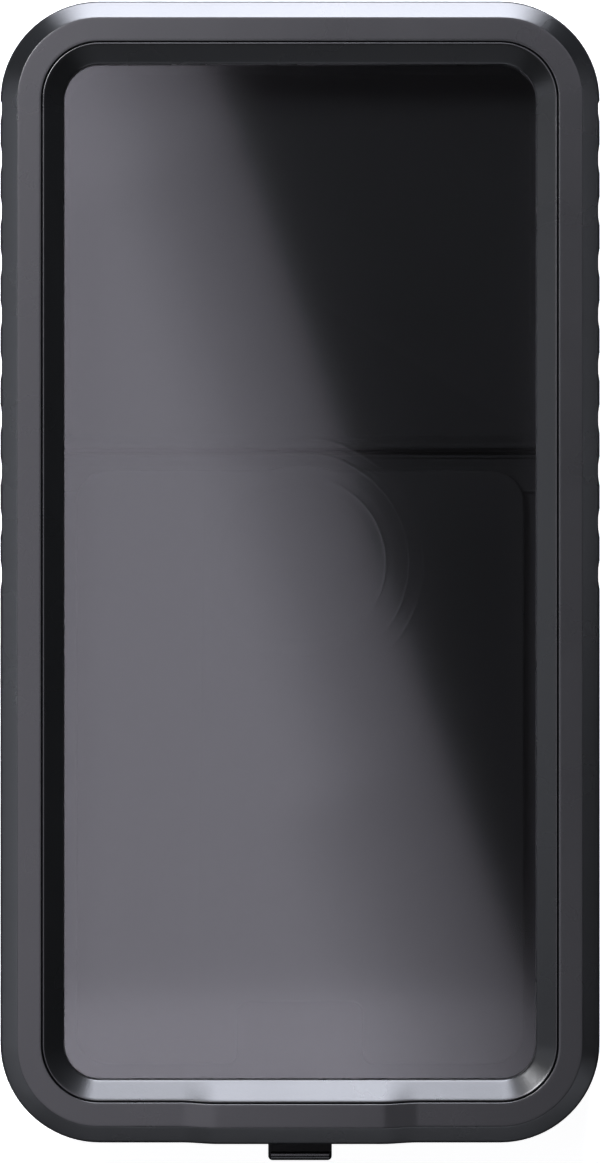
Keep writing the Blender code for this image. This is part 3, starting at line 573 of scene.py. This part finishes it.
# %% Seals
lid_seal = solid("lid_seal_skin", sweep(CASE, fillet([
    (RIB_OUTER + 1.0, GROOVE_LOW + GAP, FULL, 0.12),
    (RIB_OUTER + 1.0, GROOVE_HIGH - GAP, FULL, 0.12),
    (RIB_OUTER + 0.25, GROOVE_HIGH - GAP, FULL, 0.12),
    (RIB_OUTER, (GROOVE_LOW + GROOVE_HIGH) / 2, FULL, 0.2),
    (RIB_OUTER + 0.25, GROOVE_LOW + GAP, FULL, 0.12),
], steps=3, ease=0.05)), ring=True, material=silicone)
place(lid_seal, "front", "silicone", "lid_seal")


def opening(inset, low_edge, low_radius):
    """The camera opening's outline: concentric with the case above, and square across at its low edge."""
    half = HALF - inset
    run = np.linspace(0, 1, 9)[1:-1]
    return box_corners(-half, half, low_edge, Y_TOP - inset, CORNER - inset, low_radius, sides=(run,) * 4)


RIM = opening(OPENING + GAP, DAM_EDGE + GAP, 1.7)
flap_seal = solid("flap_seal_skin", sweep(RIM, fillet([
    (0.7, FLANGE + GAP, 0, 0.1),
    (0.7, FLANGE + 1.1, 0, 0.1),
    (0.2, FLANGE + 1.1, 0, 0.1),
    (0.0, FLANGE + 0.7, 0, 0.15),
    (0.2, FLANGE + GAP, 0, 0.1),
], steps=3, ease=0.05)), ring=True, material=silicone)
place(flap_seal, "flap", "silicone", "flap_seal")

# %% [markdown]
# ## Camera flap and its hinge
#
# The upper back is a shallow tray of its own that swings out, so that the phone's cameras are free. Through the
# window only its rim shows, as the upper of the two rounded lips beside the dark groove. The rim overhangs its
# own foot a little, which keeps the groove black, and falls to the floor on a cosine. Its knuckles interleave
# with those of the shell on one steel wire.

# %% Camera flap
KNUCKLES = np.linspace(-PIN_HALF, PIN_HALF, 6)


def knuckle(side, reach, root_low, root_high):
    """Half a circle about the pin, drawn back to the plate that carries it: (y, z) points."""
    a = np.pi / 2 + side * np.linspace(0, np.pi, 25)
    arc = np.stack([HINGE_Y + KNUCKLE * np.cos(a), HINGE_Z + KNUCKLE * np.sin(a)], -1)
    return np.concatenate([arc, [(reach, root_low), (reach, root_high)]])


def knuckle_tools(name, first, side, reach, root_low, root_high):
    """Every second knuckle, from the first on."""
    profile = knuckle(side, reach, root_low, root_high)
    spans = [(KNUCKLES[k] + GAP / 2, KNUCKLES[k + 1] - GAP / 2) for k in range(first, 5, 2)]
    return [("UNION", bar_along_x(f"{name}_{k}", profile, span)) for k, span in enumerate(spans)]


def pin_bore(name):
    return bar_along_x(name, circle(HINGE_Y, HINGE_Z, PIN_RADIUS + GAP, 32), (-PIN_HALF - 3, PIN_HALF + 3))


FLANGE_EDGE = HINGE_Y + KNUCKLE + GAP
LIP_BACK, LIP_ROUND, FLAP_FLOOR = 0.62, 0.55, 1.4
rim_rows = flat_rows((1.0, FLANGE - 0.4), (1.0, FLANGE + 1.4), (LIP_BACK, FLANGE + 1.4))
a = np.linspace(0, 1, 9) * np.pi / 2
crown = [(LIP_BACK + LIP_ROUND * (1 - math.cos(t)), RIM_TOP - LIP_ROUND * (1 - math.sin(t)), 0) for t in a]
falling = [(1.3 + 1.7 * s, RIM_TOP + (FLAP_FLOOR - RIM_TOP) * (1 - math.cos(math.pi * s)) / 2, 0)
           for s in np.linspace(0, 1, 13)]
flap_body = solid("camera_flap_skin", sweep(RIM, [*rim_rows, *crown, *falling]))
plate_rows = flat_rows((0.25, 0), (0, 0.25), (0, FLANGE))
plate = solid("plate", sweep(opening(RECESS + GAP, FLANGE_EDGE, 0.3), plate_rows))
flap = shaped(flap_body, [
    ("UNION", plate),
    *knuckle_tools("flap_knuckle", 1, 1, FLANGE_EDGE + 0.4, KNUCKLE_FLUSH, FLANGE - KNUCKLE_FLUSH),
    ("DIFFERENCE", pin_bore("flap_bore")),
], shell_plastic)
place(flap, "flap", "shell_plastic", "camera_flap")

# %% Hinge pin
ends = np.array([-PIN_HALF, -PIN_HALF + 0.12, PIN_HALF - 0.12, PIN_HALF])
wire = np.array([0.75, 1, 1, 0.75])[:, None, None] * circle(0, 0, PIN_RADIUS, 32)
pin_grid = np.concatenate([np.broadcast_to(ends[:, None, None], (4, 32, 1)), wire + (HINGE_Y, HINGE_Z)], -1)
pin = solid("hinge_pin_skin", pin_grid, material=steel)
place(pin, "rear", "steel", "flap_hinge_pin")

# %% [markdown]
# ## Rear shell
#
# The tray is one moulding with walls of even thickness. Its outline is lofted up the outside, over the rim and
# down the inside, and the grip flutes are part of that surface: they push the side in where a cylinder of 10 mm
# radius would bite a quarter of a millimetre deep. The camera opening, the hinge slot, the charging opening and
# the seat of the socket are cut from it, because a moulding tool makes them with cores that slide in.

# %% Rear shell
shell_rows = round_rows(BACK_EDGE, 0, 0, 1, 0)
shell_rows += [
    (0, 2.4, 0), (0, WALL_TOP - 0.4, 1), (0, WALL_TOP - 0.12, 1), (0.12, WALL_TOP, 1), (0.5, WALL_TOP, 1),
    (SIDE_WALL - 0.5, WALL_TOP, 1), (SIDE_WALL - 0.15, WALL_TOP, 1), (SIDE_WALL, WALL_TOP - 0.15, 1),
    (SIDE_WALL, WALL_TOP - 0.6, 1), (SIDE_WALL, BACK_WALL + FLOOR_FILLET + 0.3, 0),
]
shell_rows += [(SIDE_WALL + FLOOR_FILLET * (1 - math.cos(t)), BACK_WALL + FLOOR_FILLET * (1 - math.sin(t)), 0)
               for t in np.linspace(0, np.pi / 2, 7)]
tray = solid("rear_shell_skin", sweep(GRIP_CASE, shell_rows, fluted=True))


def dam_profile():
    """The hinge bar's section in (y, z): a foot, a flat roof over the hinge, and a round dam beside the flap."""
    foot, back = HINGE_WALL - 1.6, DAM_EDGE - 1.3
    rows = fillet([
        (foot, BACK_WALL - 0.4, 0, 0.02),
        (DAM_EDGE, BACK_WALL - 0.4, 0, 0.02),
        (DAM_EDGE, RIM_TOP - 1.6, 0, 0.04),
        (DAM_EDGE - 0.1, RIM_TOP - 1.5, 0, 0.04),
        (DAM_EDGE - 0.1, RIM_TOP, 0, 0.55),
        (back + 0.4, RIM_TOP, 0, 0.4),
        (back - 0.5, BAR_TOP, 0, 0.4),
        (foot, BAR_TOP, 0, 0.35),
    ], steps=6, ease=0.1)
    return rows[:, :2]


def cut_loft(name, corners, bottom, top, inset=0.0):
    return ("DIFFERENCE", solid(name, sweep(corners, flat_rows((inset, bottom), (inset, top)))))


BAR_HALF = HALF - OPENING + 1.8
scoop_ball = (7.0**2 + 0.9**2) / (2 * 0.9)
t = np.linspace(0.001, 1, 20) * math.acos((scoop_ball - 1.9) / scoop_ball)
scoop_arc = np.stack([scoop_ball * np.sin(t), 0.9 - scoop_ball + scoop_ball * np.cos(t)], -1)
scoop = lathe("scoop", scoop_arc, 0, Y_TOP - RECESS)
bore_ends = (-COVER_HALF - 1.2, COVER_HALF + 1.2)
trunnion_bore = bar_along_x("trunnion_tool", circle(COVER_Y, COVER_Z, 0.75, 32), bore_ends)
PORT = box_corners(-PORT_HALF, PORT_HALF, PORT_LOW, PORT_HIGH, 2.0)
POCKET = box_corners(-COVER_HALF, COVER_HALF, COVER_LOW, COVER_HIGH, 1.5, 0.3)
shell = shaped(tray, [
    ("UNION", bar_along_x("bar", dam_profile(), (-BAR_HALF, 0, BAR_HALF))),
    cut_loft("opening_tool", opening(OPENING, DAM_EDGE, 2.0), -1, RIM_TOP + 1),
    cut_loft("recess_tool", opening(RECESS, HINGE_WALL, 0.3), -1, FLANGE + GAP),
    cut_loft("slot_tool", box_corners(OPENING - HALF, HALF - OPENING, HINGE_WALL, DAM_EDGE - 1.3, 0.3), -1,
             HINGE_Z + KNUCKLE + GAP),
    ("DIFFERENCE", scoop),
    *knuckle_tools("shell_knuckle", 0, -1, HINGE_WALL - 0.4, KNUCKLE_FLUSH, HINGE_Z + KNUCKLE),
    ("DIFFERENCE", pin_bore("shell_bore")),
    ("DIFFERENCE", upright("port_tool", PORT, ((0, Y_BOTTOM - 1), (0, Y_BOTTOM + SIDE_WALL + 1)))),
    ("DIFFERENCE", upright("pocket_tool", POCKET, ((0, Y_BOTTOM - 1), (0, Y_BOTTOM + 1.9)))),
    ("DIFFERENCE", trunnion_bore),
    ("DIFFERENCE", lathe("seat_tool", [(SOCKET_RADIUS + GAP, 1.1), (SOCKET_RADIUS + GAP, 3.4)], 0, SOCKET_Y)),
    ("DIFFERENCE", lathe("mouth_tool", [(SOCKET_RADIUS - 1.1, -1), (SOCKET_RADIUS - 1.1, 3.4)], 0, SOCKET_Y)),
], shell_plastic)
place(shell, "rear", "shell_plastic", "rear_shell")

# %% [markdown]
# ## Twist-lock socket
#
# A cup with four lugs at its mouth. A head on a stem goes in between the lugs and turns behind them. It drops
# into a stepped hole from inside, so that pulling on it can't tear it out.

# %% Socket


BORE = 8.6


def lug_radius(angle, lugs=4, width=42, wall=BORE, reach=1.5):
    """Radius of the mouth at an angle: r = wall - reach S(|a|), where S falls from 1 to 0 at a lug's edge."""
    pitch = 2 * np.pi / lugs
    off = np.abs((angle + pitch / 2) % pitch - pitch / 2)
    t = np.clip((math.radians(width / 2 + 1.5) - off) / math.radians(3), 0, 1)
    return wall - reach * t * t * (3 - 2 * t)


a = np.arange(192) * 2 * np.pi / 192
r = lug_radius(a)
mouth = np.stack([np.stack([r * np.cos(a), SOCKET_Y + r * np.sin(a), 0 * a + z], -1) for z in (-1, 0.9)])
cup_radius = SOCKET_RADIUS - 1.4
cup = lathe("mount_socket_skin", [
    (cup_radius - 0.2, 0), (cup_radius, 0.2), (cup_radius, 1.4), (SOCKET_RADIUS, 1.4), (SOCKET_RADIUS, 2.4),
    (cup_radius, 2.4), (cup_radius, SOCKET_TOP - 0.3), (cup_radius - 0.3, SOCKET_TOP),
], 0, SOCKET_Y)
socket = shaped(cup, [
    ("DIFFERENCE", lathe("bore", [(BORE, 0.85), (BORE, 2.6), (BORE - 0.2, 2.8)], 0, SOCKET_Y, 192)),
    ("DIFFERENCE", solid("mouth", mouth)),
], socket_plastic)
place(socket, "rear", "socket_plastic", "mount_socket")

# %% [markdown]
# ## Phone pad
#
# The pad carries the phone. It is a soft plate with rounded corners that steps over the hinge bar, and its low
# edge has a notch for a charging plug. The socket's dome shows through it as a faint raised ring.

# %% Phone pad


def pad_corners(side=0.2, top=0.3):
    """The pad's outline. The soft edge bulges past the CAD solid by a little at its sides and its top."""
    notch, inner = 9.9, PAD_Y_LOW + 9.8
    run = np.linspace(0, 1, 5)[1:-1]
    half, end = PAD_HALF + side, PAD_Y_HIGH + top
    return [
        (-half, PAD_Y_LOW, 5.2, run), (-notch, PAD_Y_LOW, 1.8, ()), (-notch, inner, 1.8, run),
        (notch, inner, 1.8, ()), (notch, PAD_Y_LOW, 1.8, run), (half, PAD_Y_LOW, 5.2, run),
        (half, end, 5.2, run), (-half, end, 5.2, run),
    ]


t = np.linspace(0, np.pi / 2, 6)
pad_rows = [(0, PAD_LOW, 0), (0, PAD_TOP - 0.9, 0)]
pad_rows += [(0.5 * (1 - math.cos(q)), PAD_TOP - 0.5 + 0.5 * math.sin(q), 0) for q in t]
relief = [(0.01, PAD_TOP - 0.5), (15.4, PAD_TOP - 0.5), (15.3, PAD_TOP - 0.02), (14.9, PAD_TOP + 0.14),
          (14.5, PAD_TOP + 0.18), (13.0, PAD_TOP + 0.18), (12.6, PAD_TOP + 0.14), (12.2, PAD_TOP + 0.04),
          (11.8, PAD_TOP + 0.01), (0.01, PAD_TOP + 0.01)]
dome_rows = [(SOCKET_RADIUS + GAP, 1.7), (SOCKET_RADIUS + GAP, SOCKET_TOP + GAP)]
pad = shaped(solid("phone_pad_skin", sweep(pad_corners(), pad_rows)), [
    ("UNION", lathe("ring_relief", relief, 0, SOCKET_Y)),
    cut_loft("pad_step", box_corners(-PAD_HALF - 1, PAD_HALF + 1, HINGE_WALL - 1.9, PAD_Y_HIGH + 2, 0.3), 1.7,
             BAR_TOP + GAP),
    ("DIFFERENCE", lathe("pad_dome", dome_rows, 0, SOCKET_Y)),
], pad_rubber, sharp=25)
place(pad, "rear", "pad_rubber", "phone_pad")

# %% [markdown]
# ## Charging port cover
#
# One TPU moulding: a plate in its pocket, a tapered plug behind it, a bead with two trunnions to swing on, and
# the pull tab that shows below the case. The tab's bead gives a nail its hold and catches a thin highlight.

# %% Port cover
plate_high = COVER_HIGH - GAP
tab_top = plate_high - 0.4
COVER = box_corners(-COVER_HALF + GAP, COVER_HALF - GAP, COVER_Z, plate_high, 1.2, 0.3)
y_out, y_in = Y_BOTTOM + 0.2, Y_BOTTOM + 1.6
cover_rows = ((0, y_in), (0, y_out + 0.4), (0.05, y_out + 0.15), (0.2, y_out + 0.03), (0.4, y_out))
cover_plate = upright("port_cover_skin", COVER, cover_rows)
tab_sides = ((0.5,), (0.2, 0.5, 0.8), (0.5,), (0.2, 0.5, 0.8))
TAB = box_corners(-5, 5, Y_BOTTOM - 3, Y_BOTTOM + 0.6, 0.3, 0.7, sides=tab_sides)
tab_rows = flat_rows((0.2, tab_top - 1.2), (0.05, tab_top - 1.1), (0, tab_top - 0.9), (0, tab_top - 0.25),
                     (0.07, tab_top - 0.07), (0.25, tab_top))


def hanging(grid, lean=0.14):
    """A soft tab droops away from the case: z = z + lean (y - y0) past the wall."""
    grid[..., 2] += lean * np.minimum(grid[..., 1] - Y_BOTTOM, 0)
    return grid


PLUG = box_corners(-PORT_HALF + GAP, PORT_HALF - GAP, PORT_LOW + GAP, PORT_HIGH - GAP, 1.7)
plug_rows = ((0, y_in - 0.4), (0, y_in + 0.3), (0.65, Y_BOTTOM + 3.5), (0.8, Y_BOTTOM + 3.7))
trunnion_ends = (-COVER_HALF - 0.9, COVER_HALF + 0.9)
cover = shaped(cover_plate, [
    ("UNION", bar_along_x("bead", circle(COVER_Y, COVER_Z, 0.7), (GAP - COVER_HALF, COVER_HALF - GAP))),
    ("UNION", bar_along_x("trunnions", circle(COVER_Y, COVER_Z, 0.45, 32), trunnion_ends)),
    ("UNION", upright("plug", PLUG, plug_rows)),
    ("UNION", solid("tab", hanging(sweep(TAB, tab_rows)))),
    ("UNION", bar_along_x("pull_bead", circle(Y_BOTTOM - 2.15, tab_top - 0.4, 0.6), (-4.55, -4.4, 4.4, 4.55))),
], cover_rubber)
place(cover, "port", "cover_rubber", "port_cover")

# %% [markdown]
# ## Floor, light and camera
#
# The photograph is a straight look down in studio light, and nearly all that it shows of a black glossy case
# is what the case mirrors. So three groups of lamps do three jobs.
#
# - Panels overhead draw the reflections. One large softbox, a little turned, hangs over the left. Its right
#   border is graded, as a diffuser's is, and crosses the film as a soft diagonal. Only mirroring surfaces see
#   these panels, because their light would otherwise fall into the case and fill its groove and its shadows.
# - One high lamp from behind the top left lights the matt pieces through the film, so the top edge and the
#   dam throw a shadow, and strip lights behind the top edge make the top chamfer and the lower slope bright.
# - Cards that lie on the floor, and low fills, are what the steep chamfers mirror, since those look sideways.
#
# The floor is pale and almost white to the camera. The case's own mirrors see it as a dim grey, because the
# steep chamfers look down at it and are dark in the photograph.

# %% Floor


def pale_floor(half=1.2):
    """A flat pale sheet: near white to the camera, with the case's shadow, and dim in the case's mirrors."""
    corners = np.array([(-half, -half, 0), (half, -half, 0), (half, half, 0), (-half, half, 0)])
    data = bpy.data.meshes.new("floor")
    data.from_pydata(corners - (0, 0, 0.0002), [], [(0, 1, 2, 3)])
    item = bpy.data.objects.new("floor", data)
    bpy.context.scene.collection.objects.link(item)
    material, tree = new_material("pale studio floor")
    dim = add(tree, "ShaderNodeBsdfDiffuse", Color=colour("4c4c4e"))
    matt = add(tree, "ShaderNodeBsdfDiffuse", Color=colour("e6e6e8"))
    glow = add(tree, "ShaderNodeEmission", Color=(1.0, 1.0, 1.0, 1.0), Strength=0.93)
    shown = add(tree, "ShaderNodeAddShader", _0=matt.outputs["BSDF"], _1=glow.outputs["Emission"])
    path = add(tree, "ShaderNodeLightPath")
    mix = add(tree, "ShaderNodeMixShader", _0=path.outputs["Is Camera Ray"], _1=dim.outputs["BSDF"],
              _2=shown.outputs["Shader"])
    add(tree, "ShaderNodeOutputMaterial", Surface=mix.outputs["Shader"])
    data.materials.append(material)
    return item


pale_floor()

# %% Lights


def softbox(name, position, target, width, height, radiance, tint=(1.0, 1.0, 1.0), turn=0.0, matt=True):
    """A rectangular area light of an even radiance that faces a target. Power = radiance x area x pi.

    A lamp with matt=False is seen by mirroring surfaces only.
    """
    lamp = bpy.data.lights.new(name, "AREA")
    lamp.shape, lamp.size, lamp.size_y = "RECTANGLE", width, height
    lamp.energy = radiance * width * height * math.pi
    lamp.color = tint
    item = bpy.data.objects.new(name, lamp)
    bpy.context.scene.collection.objects.link(item)
    aim = (np.array(target) - position) / np.linalg.norm(np.array(target) - position)
    right = np.cross(aim, (0, 1, 0)) if abs(aim[1]) < 0.9 else np.cross(aim, (0, 0, 1))
    right /= np.linalg.norm(right)
    up = np.cross(right, aim)
    axes = Matrix(np.stack([right, up, -aim], 1).tolist()).to_4x4()
    item.matrix_world = Matrix.Translation(position) @ axes @ Matrix.Rotation(math.radians(turn), 4, "Z")
    item.visible_camera = False
    item.visible_diffuse = matt
    return item


# The key's right border passes through edge_point and is turned by EDGE_TURN degrees from the case's length.
EDGE_TURN = 19.3
edge_direction = np.array([math.sin(math.radians(EDGE_TURN)), -math.cos(math.radians(EDGE_TURN))])
edge_side = np.array([edge_direction[1], -edge_direction[0]])
edge_point = np.array([0.0223, 0.0])
VIOLET, COOL = (0.90, 0.87, 1.0), (0.86, 0.89, 1.0)


def overhead(name, centre, width, height, radiance, turn=0.0, matt=False, tint=VIOLET, z=0.463):
    """A panel about 0.45 m above the film that faces straight down and lights no matt surface."""
    return softbox(name, (*centre, z), (*centre, 0), width, height, radiance, tint, turn, matt)


# The key has three lengths. Each has a right border of six graded strips, narrow at the top and wider below.
for part, start, end, step, level in (
    ("top key", -0.23, -0.112, 0.0055, 2.36), ("key", -0.112, 0.045, 0.006, 2.16),
    ("low key", 0.045, 0.14, 0.0078, 2.16),
):
    middle = edge_point + edge_direction * (start + end) / 2
    for k, share in enumerate((0.37, 0.45, 0.54, 0.65, 0.78, 0.92)):
        centre = middle + edge_side * step * (k + 0.5)
        overhead(f"{part} edge {k}", centre, step, end - start, level * share, EDGE_TURN)
    overhead(part, middle + edge_side * (6 * step + 0.14), 0.28, end - start, level, EDGE_TURN)
# The foot is a weak sheet just below the key. Lamps don't hide each other, so it adds to the key and makes the
# low end of the film lighter. It fades to the right.
overhead("foot", (-0.122, -0.111), 0.256, 0.026, 0.72, z=0.455)
for k, level in enumerate((0.76, 0.74, 0.7, 0.62, 0.52, 0.46, 0.4, 0.25, 0.08)):
    overhead(f"foot edge {k}", (0.009 + 0.006 * k, -0.111), 0.006, 0.026, level, z=0.455)
overhead("key head", (0, 0.28), 0.5, 0.26, 2.6, z=0.47)
# Weaker panels beyond the film's reach keep the bands and the right slope from going black.
overhead("right panel", (0.20, 0.0), 0.18, 0.40, 0.85)
overhead("right border", (0.085, 0.0), 0.05, 0.22, 0.15)
overhead("low panel", (0.0, -0.165), 0.24, 0.07, 0.45)
# The high lamp, the strips and cards behind the top edge, and what the left, low and right sides mirror.
softbox("rear high", (-0.38, 0.36, 0.60), (0, 0, 0), 0.30, 0.28, 28.5, tint=(0.96, 0.97, 1.0))
softbox("top strip", (0, 0.75, 0.175), (0, 0, 0.175), 0.30, 0.35, 20.5, tint=COOL)
softbox("high strip", (0, 0.75, 0.475), (0, 0, 0.10), 0.30, 0.25, 14.5, tint=COOL)
softbox("near card", (0, 0.17, 0.002), (0, 0.17, 1), 0.12, 0.10, 14.5, tint=COOL)
softbox("middle card", (0, 0.31, 0.002), (0, 0.31, 1), 0.20, 0.18, 16.0, tint=COOL)
softbox("far card", (0, 0.57, 0.002), (0, 0.57, 1), 0.30, 0.34, 20.0, tint=COOL)
softbox("left fill", (-0.70, 0.0, 0.15), (0, 0.0, 0.15), 0.90, 0.30, 0.9, tint=COOL)
softbox("left card", (-0.45, -0.105, 0.002), (-0.45, -0.105, 1), 0.50, 0.51, 5.4, tint=COOL)
softbox("bottom fill", (0, -0.70, 0.15), (0, 0, 0.15), 0.80, 0.30, 1.0, tint=COOL)
softbox("bottom high", (0, -0.70, 0.37), (0, 0, 0.05), 0.90, 0.18, 0.5, tint=COOL)
softbox("bottom card", (0.10, -0.45, 0.002), (0.10, -0.45, 1), 1.70, 0.50, 1.7, tint=COOL)
softbox("right card", (0.45, 0.09, 0.002), (0.45, 0.09, 1), 0.50, 0.20, 3.0, tint=COOL)
softbox("right low card", (0.42, -0.05, 0.002), (0.42, -0.05, 1), 0.50, 0.08, 0.9, tint=COOL)
softbox("right corner card", (0.20, -0.17, 0.002), (0.20, -0.17, 1), 0.20, 0.13, 1.2, tint=COOL)
softbox("left corner card", (-0.18, -0.17, 0.002), (-0.18, -0.17, 1), 0.16, 0.11, 0.5, tint=COOL)

world = bpy.context.scene.world or bpy.data.worlds.new("studio")
bpy.context.scene.world = world
world.use_nodes = True
world.node_tree.nodes.clear()
sky = add(world.node_tree, "ShaderNodeBackground", Color=(1.0, 1.0, 1.0, 1.0), Strength=0.02)
add(world.node_tree, "ShaderNodeOutputWorld", Surface=sky.outputs["Background"])
print("lamps:", [lamp.name for lamp in bpy.data.lights])

# %% Camera
# The photograph is 600 by 1163 points and cut to the case's outline, so its long side is the case's own length
# with the tab, seen at the height of the widest contour. IN_VIEW is that length with a hair's breadth to spare.
DISTANCE, SENSOR, IN_VIEW = 0.9, 36.0, 0.1824
lens = bpy.data.cameras.new("camera")
lens.sensor_width = SENSOR
lens.lens = SENSOR * DISTANCE / IN_VIEW
lens.clip_start, lens.clip_end = 0.05, 10
camera = bpy.data.objects.new("camera", lens)
bpy.context.scene.collection.objects.link(camera)
camera.location = (0, 0, DISTANCE + WALL_TOP * MM)
bpy.context.scene.camera = camera
bpy.context.scene.view_settings.view_transform = "Standard"
print("lens", round(lens.lens, 1), "mm at", round(camera.location.z, 3), "m")
